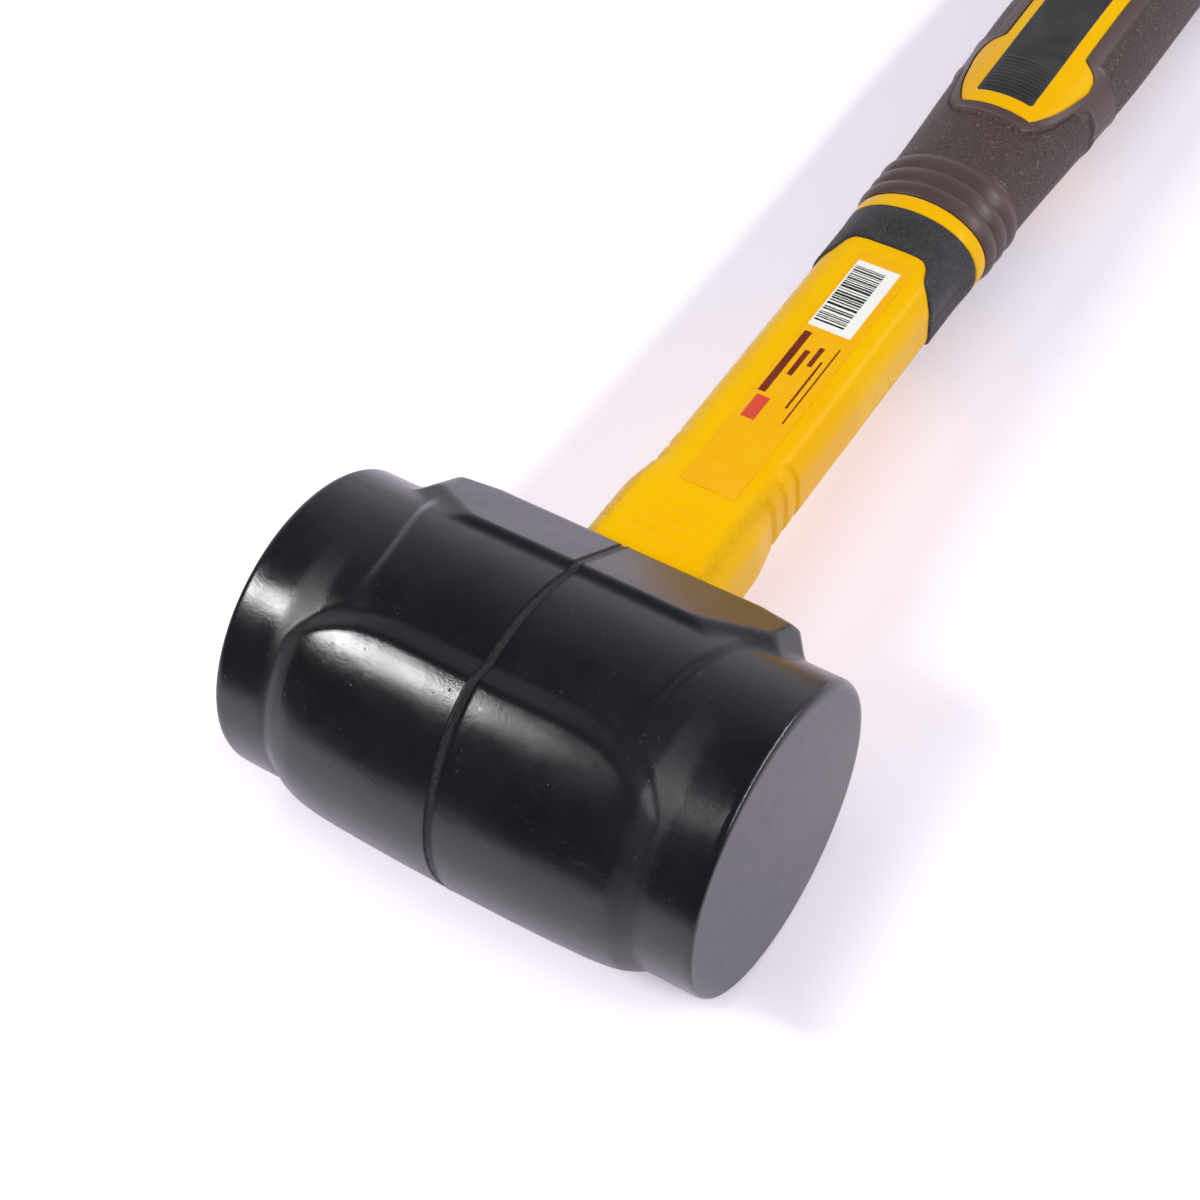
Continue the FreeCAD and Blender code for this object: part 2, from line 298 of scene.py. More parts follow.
def makeGrainGroup():
    # fine sandy relief of a spark-eroded mould
    group, inside, outside = newGroup("sparkGrain", [("Scale", 2200.0), ("Coarse", 0.4)], ["Height"])
    place = objectPlace(group)
    fine = addNode(group, "ShaderNodeTexNoise",
                   {"Vector": place, "Scale": inside.outputs["Scale"], "Detail": 3.0, "Roughness": 0.6})
    coarseScale = calculate(group, "MULTIPLY", inside.outputs["Scale"], 0.28)
    coarse = addNode(group, "ShaderNodeTexNoise", {"Vector": place, "Scale": coarseScale, "Detail": 2.0})
    lifted = calculate(group, "MULTIPLY", coarse.outputs[0], inside.outputs["Coarse"])
    height = calculate(group, "ADD", fine.outputs[0], lifted)
    group.links.new(height, outside.inputs["Height"])
    return group


def makeMottleGroup():
    # slow cloudy change of colour or gloss, 0 to 1
    group, inside, outside = newGroup("mottle", [("Scale", 30.0), ("Sharpness", 0.25)], ["Mask"])
    cloud = addNode(group, "ShaderNodeTexNoise",
                    {"Vector": objectPlace(group), "Scale": inside.outputs["Scale"], "Detail": 5.0,
                     "Roughness": 0.58, "Distortion": 0.4})
    low = calculate(group, "SUBTRACT", 0.5, inside.outputs["Sharpness"])
    high = calculate(group, "ADD", 0.5, inside.outputs["Sharpness"])
    mask = addNode(group, "ShaderNodeMapRange",
                   {"Value": cloud.outputs[0], "From Min": low, "From Max": high},
                   interpolation_type="SMOOTHSTEP")
    group.links.new(mask.outputs[0], outside.inputs["Mask"])
    return group


def makeSpeckGroup():
    # scattered round specks in a share of the cells: pits, dust, glints
    group, inside, outside = newGroup("specks", [("Scale", 300.0), ("Share", 0.3), ("Size", 0.2)], ["Mask"])
    cells = addNode(group, "ShaderNodeTexVoronoi",
                    {"Vector": objectPlace(group), "Scale": inside.outputs["Scale"], "Randomness": 1.0})
    pick = addNode(group, "ShaderNodeSeparateColor", {"Color": cells.outputs["Color"]})
    chosen = calculate(group, "LESS_THAN", pick.outputs[0], inside.outputs["Share"])
    reach = calculate(group, "MULTIPLY", inside.outputs["Size"], pick.outputs[1])
    spot = addNode(group, "ShaderNodeMapRange",
                   {"Value": cells.outputs["Distance"], "From Min": reach, "From Max": 0.0})
    mask = calculate(group, "MULTIPLY", spot.outputs[0], chosen, clamp=True)
    group.links.new(mask, outside.inputs["Mask"])
    return group


def makeScuffGroup():
    # thin scratches and rub marks that run roughly one way, broken up by patches
    group, inside, outside = newGroup("scuffs", [("Scale", 60.0), ("Amount", 0.4)], ["Mask"])
    stretched = addNode(group, "ShaderNodeMapping", {"Vector": objectPlace(group)})
    stretched.inputs["Rotation"].default_value = (0.3, 0.5, 0.7)
    stretched.inputs["Scale"].default_value = (1.0, 9.0, 5.0)
    lines = addNode(group, "ShaderNodeTexNoise",
                    {"Vector": stretched.outputs[0], "Scale": inside.outputs["Scale"], "Detail": 4.0,
                     "Roughness": 0.7, "Distortion": 0.8})
    patches = addNode(group, "ShaderNodeTexNoise",
                      {"Vector": objectPlace(group), "Scale": 45.0, "Detail": 2.0})
    rubbed = remap(group, lines.outputs[0], 0.58, 0.72)
    where = remap(group, patches.outputs[0], 0.48, 0.66)
    both = calculate(group, "MULTIPLY", rubbed, where)
    mask = calculate(group, "MULTIPLY", both, inside.outputs["Amount"], clamp=True)
    group.links.new(mask, outside.inputs["Mask"])
    return group


def makeLeatherGroup():
    # pebbled leather grain: rounded cells with creases between
    group, inside, outside = newGroup("leatherGrain", [("Scale", 1100.0)], ["Height", "Crease"])
    place = objectPlace(group)
    warp = addNode(group, "ShaderNodeTexNoise", {"Vector": place, "Scale": 500.0, "Detail": 1.0})
    shifted = addNode(group, "ShaderNodeVectorMath",
                      {0: warp.outputs["Color"], 1: (0.0006, 0.0006, 0.0006), 2: place},
                      operation="MULTIPLY_ADD")
    cells = addNode(group, "ShaderNodeTexVoronoi",
                    {"Vector": shifted.outputs[0], "Scale": inside.outputs["Scale"]},
                    feature="DISTANCE_TO_EDGE")
    pebble = remap(group, cells.outputs["Distance"], 0.0, 0.32, smooth=True)
    # crease mask, which the grip uses to paint shade into the creases
    creaseShade = remap(group, cells.outputs["Distance"], 0.10, 0.0)
    group.links.new(pebble, outside.inputs["Height"])
    group.links.new(creaseShade, outside.inputs["Crease"])
    return group


groups = {
    "grain": makeGrainGroup(),
    "mottle": makeMottleGroup(),
    "specks": makeSpeckGroup(),
    "scuffs": makeScuffGroup(),
    "leather": makeLeatherGroup(),
}


def addGroup(tree, name, **values):
    node = tree.nodes.new("ShaderNodeGroup")
    node.node_tree = groups[name]
    for label, value in values.items():
        node.inputs[label].default_value = value
    return node


def newMaterial(name):
    material = bpy.data.materials.new(name)
    material.use_nodes = True
    tree = material.node_tree
    return material, tree, tree.nodes["Principled BSDF"]


def pieceMask(tree, name):
    return addNode(tree, "ShaderNodeAttribute", attribute_name=name).outputs["Fac"]


def addBump(tree, shader, height, strength, distance, previous=None):
    node = addNode(tree, "ShaderNodeBump", {"Height": height, "Strength": strength, "Distance": distance})
    if previous is not None:
        tree.links.new(previous, node.inputs["Normal"])
    tree.links.new(node.outputs[0], shader.inputs["Normal"])
    return node.outputs[0]


def makeHeadRubber():
    look = {
        "deep": (0.0070, 0.0068, 0.0092, 1.0),
        "bloom": (0.0142, 0.0135, 0.0195, 1.0),
        "dust": (0.085, 0.082, 0.088, 1.0),
    }
    material, tree, shader = newMaterial("headRubber")
    cloud = addGroup(tree, "mottle", Scale=38.0, Sharpness=0.22)
    colour = blendColours(tree, cloud.outputs[0], look["deep"], look["bloom"])
    scuff = addGroup(tree, "scuffs", Scale=75.0, Amount=0.22)
    colour = blendColours(tree, scuff.outputs[0], colour, look["dust"])
    specks = addGroup(tree, "specks", Scale=650.0, Share=0.12, Size=0.32)
    dusty = calculate(tree, "MULTIPLY", specks.outputs[0], 0.5)
    colour = blendColours(tree, dusty, colour, look["dust"])
    rough = pieceMask(tree, "roughSeam")
    tree.links.new(colour, shader.inputs["Base Color"])
    gloss = remap(tree, cloud.outputs[0], 0.0, 1.0, 0.175, 0.23)
    gloss = calculate(tree, "MULTIPLY_ADD", rough, 0.42, gloss)
    gloss = calculate(tree, "MULTIPLY_ADD", pieceMask(tree, "grimy"), 0.22, gloss)
    rubbed = addGroup(tree, "mottle", Scale=210.0, Sharpness=0.12)
    gloss = calculate(tree, "MULTIPLY_ADD", rubbed.outputs[0], 0.035, gloss)
    gloss = calculate(tree, "MULTIPLY_ADD", scuff.outputs[0], 0.3, gloss, clamp=True)
    tree.links.new(gloss, shader.inputs["Roughness"])
    shader.inputs["IOR"].default_value = 1.66
    # waxy bloom that shines when seen at a low angle
    facing = addNode(tree, "ShaderNodeLayerWeight", {"Blend": 0.5}).outputs["Facing"]
    tree.links.new(remap(tree, facing, 0.45, 0.9, 0.0, 0.5), shader.inputs["Coat Weight"])
    shader.inputs["Coat Roughness"].default_value = 0.22
    shader.inputs["Coat Tint"].default_value = (0.92, 0.89, 1.0, 1.0)
    grain = addGroup(tree, "grain", Scale=3400.0, Coarse=0.6)
    normal = addBump(tree, shader, grain.outputs[0], 0.26, 0.0001)
    orange = addGroup(tree, "grain", Scale=420.0, Coarse=0.8)
    normal = addBump(tree, shader, orange.outputs[0], 0.10, 0.0002, normal)
    pits = addGroup(tree, "specks", Scale=760.0, Share=0.22, Size=0.28)
    sunk = calculate(tree, "MULTIPLY", pits.outputs[0], -1.0)
    normal = addBump(tree, shader, sunk, 0.5, 0.00012, normal)
    seamGrain = addGroup(tree, "grain", Scale=1000.0, Coarse=1.0)
    seamHeight = calculate(tree, "MULTIPLY", seamGrain.outputs[0], rough)
    addBump(tree, shader, seamHeight, 1.0, 0.0011, normal)
    return material


def makeJacketPlastic():
    look = {
        "bright": (0.975, 0.57, 0.0, 1.0),
        "deep": (0.965, 0.49, 0.0, 1.0),
        "smudge": (0.70, 0.33, 0.01, 1.0),
    }
    material, tree, shader = newMaterial("jacketPlastic")
    cloud = addGroup(tree, "mottle", Scale=26.0, Sharpness=0.3)
    colour = blendColours(tree, cloud.outputs[0], look["bright"], look["deep"])
    marks = addGroup(tree, "specks", Scale=150.0, Share=0.05, Size=0.10)
    colour = blendColours(tree, marks.outputs[0], colour, look["smudge"])
    tree.links.new(colour, shader.inputs["Base Color"])
    gloss = remap(tree, cloud.outputs[0], 0.0, 1.0, 0.25, 0.31)
    tree.links.new(gloss, shader.inputs["Roughness"])
    shader.inputs["Specular IOR Level"].default_value = 0.26
    shader.inputs["Specular Tint"].default_value = (1.0, 0.80, 0.24, 1.0)
    grain = addGroup(tree, "grain", Scale=900.0, Coarse=0.8)
    normal = addBump(tree, shader, grain.outputs[0], 0.05, 0.0002)
    sparkle = addGroup(tree, "grain", Scale=1500.0, Coarse=0.6)
    rough = calculate(tree, "MULTIPLY", sparkle.outputs[0], pieceMask(tree, "sandy"))
    addBump(tree, shader, rough, 0.9, 0.0009, normal)
    return material


def makeGripRubber():
    look = {
        "base": (0.082, 0.049, 0.048, 1.0),
        "warm": (0.100, 0.062, 0.058, 1.0),
        "creaseShade": (0.045, 0.028, 0.027, 1.0),
        "paintedGlint": (0.26, 0.20, 0.17, 1.0),
    }
    material, tree, shader = newMaterial("gripRubber")
    textured = pieceMask(tree, "textured")
    cloud = addGroup(tree, "mottle", Scale=45.0, Sharpness=0.3)
    colour = blendColours(tree, cloud.outputs[0], look["base"], look["warm"])
    # painted shade: the base colour is darkened in the creases of the leather grain
    leather = addGroup(tree, "leather", Scale=1250.0)
    creases = calculate(tree, "MULTIPLY", leather.outputs["Crease"], textured)
    creases = calculate(tree, "MULTIPLY", creases, 0.6)
    colour = blendColours(tree, creases, colour, look["creaseShade"])
    # painted highlight: scattered flecks on the textured zone are lightened in the base colour as glints
    glintFlecks = addGroup(tree, "specks", Scale=950.0, Share=0.32, Size=0.5)
    lit = calculate(tree, "MULTIPLY", glintFlecks.outputs[0], textured, clamp=True)
    colour = blendColours(tree, lit, colour, look["paintedGlint"])
    tree.links.new(colour, shader.inputs["Base Color"])
    gloss = remap(tree, cloud.outputs[0], 0.0, 1.0, 0.31, 0.40)
    gloss = calculate(tree, "MULTIPLY_ADD", textured, 0.08, gloss)
    tree.links.new(gloss, shader.inputs["Roughness"])
    shader.inputs["Specular IOR Level"].default_value = 0.5
    height = calculate(tree, "MULTIPLY", leather.outputs["Height"], textured)
    normal = addBump(tree, shader, height, 0.85, 0.0003)
    grain = addGroup(tree, "grain", Scale=2400.0, Coarse=0.4)
    addBump(tree, shader, grain.outputs[0], 0.12, 0.0001, normal)
    return material


def makeCollarRubber():
    look = {
        "base": (0.030, 0.029, 0.033, 1.0),
        "worn": (0.050, 0.048, 0.054, 1.0),
    }
    material, tree, shader = newMaterial("collarRubber")
    cloud = addGroup(tree, "mottle", Scale=60.0, Sharpness=0.25)
    colour = blendColours(tree, cloud.outputs[0], look["base"], look["worn"])
    tree.links.new(colour, shader.inputs["Base Color"])
    gloss = remap(tree, cloud.outputs[0], 0.0, 1.0, 0.40, 0.5)
    tree.links.new(gloss, shader.inputs["Roughness"])
    leather = addGroup(tree, "leather", Scale=1400.0)
    normal = addBump(tree, shader, leather.outputs["Height"], 0.8, 0.0003)
    grain = addGroup(tree, "grain", Scale=2600.0, Coarse=0.5)
    addBump(tree, shader, grain.outputs[0], 0.15, 0.0001, normal)
    return material


def makeBadgePlastic():
    look = {
        "base": (0.026, 0.025, 0.028, 1.0),
        "rubbed": (0.050, 0.046, 0.050, 1.0),
    }
    material, tree, shader = newMaterial("badgePlastic")
    cloud = addGroup(tree, "mottle", Scale=120.0, Sharpness=0.2)
    colour = blendColours(tree, cloud.outputs[0], look["base"], look["rubbed"])
    dust = addGroup(tree, "specks", Scale=500.0, Share=0.06, Size=0.3)
    colour = blendColours(tree, dust.outputs[0], colour, (0.2, 0.19, 0.18, 1.0))
    tree.links.new(colour, shader.inputs["Base Color"])
    gloss = remap(tree, cloud.outputs[0], 0.0, 1.0, 0.38, 0.5)
    tree.links.new(gloss, shader.inputs["Roughness"])
    grain = addGroup(tree, "grain", Scale=2000.0, Coarse=0.7)
    addBump(tree, shader, grain.outputs[0], 0.3, 0.00012)
    return material


def makePrint(name, base, aged, roughness):
    # printed film: flat ink with a faint unevenness under a glossy face
    material, tree, shader = newMaterial(name)
    cloud = addGroup(tree, "mottle", Scale=160.0, Sharpness=0.3)
    colour = blendColours(tree, cloud.outputs[0], base, aged)
    tree.links.new(colour, shader.inputs["Base Color"])
    gloss = remap(tree, cloud.outputs[0], 0.0, 1.0, roughness, roughness + 0.08)
    tree.links.new(gloss, shader.inputs["Roughness"])
    shader.inputs["Specular IOR Level"].default_value = 0.35
    grain = addGroup(tree, "grain", Scale=700.0, Coarse=1.0)
    addBump(tree, shader, grain.outputs[0], 0.04, 0.0002)
    return material


def makeAdhesive():
    material, tree, shader = newMaterial("curedAdhesive")
    cloud = addGroup(tree, "mottle", Scale=90.0, Sharpness=0.3)
    colour = blendColours(tree, cloud.outputs[0], (0.55, 0.46, 0.28, 1.0), (0.68, 0.60, 0.42, 1.0))
    tree.links.new(colour, shader.inputs["Base Color"])
    shader.inputs["Roughness"].default_value = 0.35
    bubbles = addGroup(tree, "specks", Scale=500.0, Share=0.3, Size=0.4)
    addBump(tree, shader, bubbles.outputs[0], 0.4, 0.0003)
    return material


def makeGlassRod():
    # fibres run the length of the rod
    material, tree, shader = newMaterial("pultrudedRod")
    along = addNode(tree, "ShaderNodeMapping", {"Vector": objectPlace(tree)})
    along.inputs["Scale"].default_value = (1.0, 0.02, 1.0)
    fibres = addNode(tree, "ShaderNodeTexNoise",
                     {"Vector": along.outputs[0], "Scale": 2500.0, "Detail": 3.0, "Roughness": 0.6})
    colour = blendColours(tree, fibres.outputs[0], (0.42, 0.44, 0.33, 1.0), (0.68, 0.70, 0.58, 1.0))
    tree.links.new(colour, shader.inputs["Base Color"])
    shader.inputs["Roughness"].default_value = 0.4
    addBump(tree, shader, fibres.outputs[0], 0.3, 0.0002)
    return material


finishes = {
    "head": makeHeadRubber(),
    "jacket": makeJacketPlastic(),
    "grip": makeGripRubber(),
    "collar": makeCollarRubber(),
    "badge": makeBadgePlastic(),
    "film": makePrint("labelFilm", (0.97, 0.47, 0.0, 1.0), (0.97, 0.51, 0.001, 1.0), 0.22),
    "paper": makePrint("labelPaper", (0.985, 0.98, 0.94, 1.0), (0.95, 0.945, 0.91, 1.0), 0.35),
    "ink": makePrint("labelInk", (0.012, 0.009, 0.010, 1.0), (0.03, 0.02, 0.02, 1.0), 0.3),
    "maroon": makePrint("labelMaroon", (0.16, 0.020, 0.006, 1.0), (0.22, 0.035, 0.008, 1.0), 0.3),
    "red": makePrint("labelRed", (0.70, 0.055, 0.03, 1.0), (0.74, 0.10, 0.05, 1.0), 0.3),
}
print("finishes ready")


# sizes of the rubber head; turn is 0 towards the handle, 90 straight up
head = {
    "halfLength": 52.0,
    "faceRadius": 30.0,
    "lipRadius": 31.3,
    "edgeRun": 1.7,            # along the head, from lip to face
    "barrelOffset": 0.8,       # of lips and middle towards the handle
    "valleyRadius": 32.0,
    "valleyHalfLength": 29.2,
    # half length along the head, radius
    "cheekProfile": [(0.0, 34.2), (15.0, 34.02), (25.0, 33.7), (30.0, 33.42), (33.0, 33.13), (35.5, 32.65),
                     (37.5, 31.95), (38.8, 31.32), (40.3, 30.4), (42.5, 28.85), (60.0, 17.0)],
    # half length along the head, degrees from straight up
    "facetStart": [(0.0, 18.0), (18.3, 17.9), (22.3, 18.7), (26.0, 20.2), (29.7, 22.3), (32.3, 24.1),
                   (35.7, 27.1), (38.1, 29.9), (40.0, 32.5), (60.0, 45.0)],
    "facetEnd": [(0.0, 25.4), (19.0, 25.2), (25.3, 26.4), (28.8, 28.4), (32.2, 31.2), (35.3, 34.4),
                 (40.0, 39.5), (60.0, 55.0)],
    "facetRound": 0.9,
    "bossHeight": 34.2,
    "bossCrownHalfLength": 29.0,
    "bossShoulder": (38.0, 32.2),
    "bossFoot": (42.5, 26.2),
    "bevelTop": (34.2, 17.5),
    "bevelFoot": (18.2, 28.6),
    "bevelUnder": (14.0, 27.8),
    # outward direction (along the head, towards the handle, up) and level of the flats at the boss ends
    "endCut": (0.25, 0.20, 0.947, 36.75),
    "endFacet": (0.60, 0.45, 0.66, 49.1),
    "edgeRound": 2.4,
    "seamBand": (-1.45, -0.15),
    "seamDepth": 0.22,
}


def linePlane(first, second):
    # outward normal and distance of the line through two (handle, up) points
    along = np.array(second, dtype=float) - np.array(first, dtype=float)
    along /= np.linalg.norm(along)
    normal = np.array([-along[1], along[0]])
    distance = normal @ np.array(first)
    if distance < 0:
        normal, distance = -normal, -distance
    return normal, distance


def planeReach(normal, distance, towardsHandle, sideways):
    facing = normal[0] * towardsHandle + normal[1] * sideways
    return np.where(facing > 0.05, distance / np.maximum(facing, 0.05), 200.0)


def flatReach(flat, size, towardsHandle, sideways):
    facing = flat[1] * towardsHandle + flat[2] * sideways
    return (flat[3] - flat[0] * size) / np.maximum(facing, 0.05)


def headReach(along, turn):
    # distance of the surface from the head's axis; turn is 0 towards the handle, 90 straight up
    size = np.abs(along)
    towardsHandle = np.cos(turn)
    sideways = np.abs(np.sin(turn))
    offset = head["barrelOffset"]
    inner = np.sqrt(1 - (offset * sideways / head["lipRadius"]) ** 2)
    lip = offset * towardsHandle + head["lipRadius"] * inner
    valley = offset * towardsHandle + head["valleyRadius"] * inner
    fromTop = np.degrees(np.arctan2(-towardsHandle, sideways))   # plus on the cheek side
    stepAt = head["valleyHalfLength"] + 4.0 * easeBetween(4.0, -45.0, fromTop)
    fading = easeBetween(4.0, 22.0, fromTop)                     # the step softens towards the cheek
    inValley = easeBetween(stepAt + 1.9 + 2.0 * fading, stepAt - 0.4 - 2.0 * fading, size)
    barrel = lip + (valley - lip) * inValley + 0.05 * bump(stepAt + 0.8, 0.5, size) * (1 - fading)

    cheek = alongCurve(head["cheekProfile"], size)
    start = np.radians(alongCurve(head["facetStart"], size))
    end = np.radians(alongCurve(head["facetEnd"], size))
    lowRadius = np.minimum(31.8, cheek - 2.0)
    lowAt, lowUp = -lowRadius * np.sin(start), lowRadius * np.cos(start)
    highAt, highUp = -cheek * np.sin(end), cheek * np.cos(end)
    facing = (lowUp - highUp) * towardsHandle + (highAt - lowAt) * sideways
    level = (lowUp - highUp) * lowAt + (highAt - lowAt) * lowUp
    facet = np.where(facing * level > 0, level / np.where(np.abs(facing) > 1e-6, facing, 1e-6), 200.0)
    onCheekSide = towardsHandle < 0.0
    cheek = np.where(onCheekSide, softMin(cheek, facet, head["facetRound"]), 0.0)

    (shoulderAt, shoulderHeight), (footAt, footHeight) = head["bossShoulder"], head["bossFoot"]
    places = [0.0, head["bossCrownHalfLength"], shoulderAt, footAt, 60.0]
    heights = [head["bossHeight"], head["bossHeight"], shoulderHeight, footHeight, footHeight - 24.0]
    crown = np.interp(size, places, heights)
    top = crown / np.maximum(towardsHandle, 0.05)
    bevel = planeReach(*linePlane(head["bevelTop"], head["bevelFoot"]), towardsHandle, sideways)
    under = planeReach(*linePlane(head["bevelFoot"], head["bevelUnder"]), towardsHandle, sideways)
    boss = softMin(softMin(top, bevel, head["edgeRound"]), under, 1.2)
    boss = softMin(boss, flatReach(head["endFacet"], size, towardsHandle, sideways), 1.2)
    boss = softMin(boss, flatReach(head["endCut"], size, towardsHandle, sideways), 0.8)
    boss = np.where(towardsHandle > 0.08, boss, 0.0)

    reach = softMax(softMax(barrel, cheek, 0.7), boss, 1.4)
    start, end = head["seamBand"]
    inBand = easeBetween(start - 0.15, start + 0.15, along) * easeBetween(end + 0.15, end - 0.15, along)
    reach = reach - head["seamDepth"] * inBand - 0.16 * bump(start + 0.2, 0.2, along)
    reach = reach + 0.10 * bump(end + 0.35, 0.35, along)
    edge = np.clip((size - (head["halfLength"] - head["edgeRun"])) / head["edgeRun"], 0.0, 1.0)
    rounded = head["faceRadius"] + (reach - head["faceRadius"]) * np.sqrt(np.maximum(1 - edge ** 2, 0.0))
    return np.where(edge > 0, rounded, reach)


def makeHead():
    side = [(0.0, 2.4, 0.15), (2.4, 26.0, 1.1), (26.0, 43.6, 0.4), (43.6, 50.2, 0.8), (50.2, 52.0, 0.15)]
    half = spaced(side)
    along = np.unique(np.concatenate([-half, half]))
    quarter = [(0, 21, 1.2), (21, 67, 0.5), (67, 104, 1.2),
               (104, 122, 0.5), (122, 180, 1.3)]
    turns = spaced(quarter)
    turns = np.radians(np.concatenate([turns, 360.0 - turns[-2:0:-1]]))
    alongGrid, turnGrid = np.meshgrid(along, turns, indexing="ij")
    reach = headReach(alongGrid, turnGrid)
    points = np.stack([alongGrid, reach * np.cos(turnGrid), reach * np.sin(turnGrid)], axis=-1)
    flat = points.reshape(-1, 3)
    swell = unevenness(flat, 16.0, 1) * 0.10 + unevenness(flat, 5.0, 2) * 0.025
    fade = easeBetween(52.0, 49.0, np.abs(flat[:, 0]))
    outward = np.stack([np.zeros(len(flat)), np.cos(turnGrid).ravel(), np.sin(turnGrid).ravel()], axis=-1)
    flat = flat + outward * (swell * fade)[:, None]
    rows, columns = alongGrid.shape
    faces = gridFaces(rows, columns, True)
    allPoints = [point for point in flat]
    shares = (0.985, 0.94, 0.86, 0.72, 0.54, 0.34, 0.16)
    capRings(allPoints, faces, range(columns), (-head["halfLength"], 0, 0), shares)
    capRings(allPoints, faces, range((rows - 1) * columns, rows * columns),
             (head["halfLength"], 0, 0), shares)
    allPoints = np.array(allPoints)
    places, towardsHandle, up = allPoints.T
    start, end = head["seamBand"]
    seamMask = easeBetween(start - 0.2, start + 0.1, places) * easeBetween(end + 0.5, end, places)
    size = np.abs(places)
    grimy = easeBetween(34.8, 37.0, size) * easeBetween(43.0, 40.0, size)    # dust on the cheek's end slope
    grimy = grimy * easeBetween(2.0, -6.0, towardsHandle) * easeBetween(-4.0, 8.0, np.abs(up))
    masks = {"roughSeam": seamMask, "grimy": grimy}
    piece = addPiece("malletHead", allPoints, faces, masks, sharpAngle=60.0)
    finishPiece(piece, finishes["head"], "head_rubber", "rubber_head")
    print("head", len(piece.data.polygons), "faces")


makeHead()


# half widths and thicknesses are (place along the handle, size)
shaft = {
    "halfWidths": [(30.0, 15.7), (34.2, 15.7), (54.0, 15.6), (66.0, 14.05), (72.0, 14.0), (150.0, 14.0)],
    "halfThicknesses": [(30.0, 10.5), (34.2, 10.5), (54.0, 10.4), (66.0, 9.77), (72.0, 9.75),
                        (150.0, 9.75)],
    "corner": 7.0,
    "barPlaces": (44.3, 48.3, 52.2),
    "barHalfLength": 7.5,
    "barDepth": 0.22,
    "nickPlaces": (64.0, 68.7, 73.4),
    "nickDepth": 0.6,
    "nickHalfWidth": 1.35,
}
ringBand = {"start": 149.0, "end": 153.5, "halfWidth": 16.0, "halfThickness": 12.0, "round": 0.7}


def ringPlan(cornerSteps, wideSteps, narrowSteps):
    # one row per point: share of the flat across, share of the flat up, outward direction
    plan = []
    sides = ((1, 1), (-1, 1), (-1, -1), (1, -1))
    for quarter, (sideA, sideV) in enumerate(sides):
        for step in range(cornerSteps):
            angle = math.radians(90 * (quarter + step / cornerSteps))
            plan.append((sideA, sideV, math.cos(angle), math.sin(angle)))
        nextA, nextV = sides[(quarter + 1) % 4]
        angle = math.radians(90 * (quarter + 1))
        steps = wideSteps if quarter % 2 == 0 else narrowSteps
        for step in range(steps):
            share = step / steps
            plan.append((sideA + (nextA - sideA) * share, sideV + (nextV - sideV) * share,
                         math.cos(angle), math.sin(angle)))
    return np.array(plan)


def shaftSection(plan, place, skin=0.0):
    # points of the section at each place, with their outward directions
    place = np.asarray(place, dtype=float)[:, None]
    halfWidth = alongCurve(shaft["halfWidths"], place)
    halfThickness = alongCurve(shaft["halfThicknesses"], place)
    corner = shaft["corner"]
    across = plan[None, :, 0] * (halfWidth - corner) + plan[None, :, 2] * (corner + skin)
    up = plan[None, :, 1] * (halfThickness - corner) + plan[None, :, 3] * (corner + skin)
    return across, up


def shaftFront(across, place):
    halfWidth = alongCurve(shaft["halfWidths"], place)
    halfThickness = alongCurve(shaft["halfThicknesses"], place)
    past = np.clip(np.abs(across) - (halfWidth - shaft["corner"]), 0.0, shaft["corner"])
    return halfThickness - shaft["corner"] + np.sqrt(shaft["corner"] ** 2 - past ** 2)


def makeShaft():
    places = spaced([(30.0, 42.0, 1.0), (42.0, 54.0, 0.3), (54.0, 61.0, 0.7), (61.0, 76.0, 0.25),
                     (76.0, 150.0, 1.5)])
    plan = ringPlan(16, 30, 8)
    across, up = shaftSection(plan, places)
    place = np.repeat(places[:, None], len(plan), axis=1)
    onFace = easeBetween(shaft["barHalfLength"] + 0.6, shaft["barHalfLength"] - 0.6, np.abs(across))
    onFace = onFace * (np.abs(plan[None, :, 3]) > 0.95)
    for barPlace in shaft["barPlaces"]:
        sunk = shaft["barDepth"] * bump(barPlace, 0.75, place) * onFace
        up = up - np.sign(up) * sunk
    side = easeBetween(9.2, 13.0, np.abs(across))
    for nickPlace in shaft["nickPlaces"]:
        within = np.clip(1 - ((place - nickPlace) / shaft["nickHalfWidth"]) ** 2, 0.0, 1.0)
        across = across - np.sign(across) * shaft["nickDepth"] * within * side
    swell = np.array([noise.noise(Vector((a, h, v)) / 11.0)
                      for a, h, v in zip(across.ravel(), place.ravel(), up.ravel())])
    swell = swell.reshape(across.shape) * 0.04
    across = across + plan[None, :, 2] * swell
    up = up + plan[None, :, 3] * swell
    sandy = easeBetween(34.0, 37.0, place) * easeBetween(76.0, 60.0, place)
    sandy = sandy * bump(12.4, 1.5, np.abs(across))
    points = np.stack([across, place, up], axis=-1).reshape(-1, 3)
    faces = gridFaces(len(places), len(plan), True)
    allPoints = [point for point in points]
    capRings(allPoints, faces, range(len(plan)), (0, places[0], 0), (0.5,))
    capRings(allPoints, faces, range((len(places) - 1) * len(plan), len(places) * len(plan)),
             (0, places[-1], 0), (0.5,))
    mask = np.concatenate([sandy.ravel(), np.zeros(len(allPoints) - sandy.size)])
    piece = addPiece("shaftJacket", np.array(allPoints), faces, {"sandy": mask})
    finishPiece(piece, finishes["jacket"], "jacket_plastic", "shaft_jacket")
    print("shaft", len(piece.data.polygons), "faces")


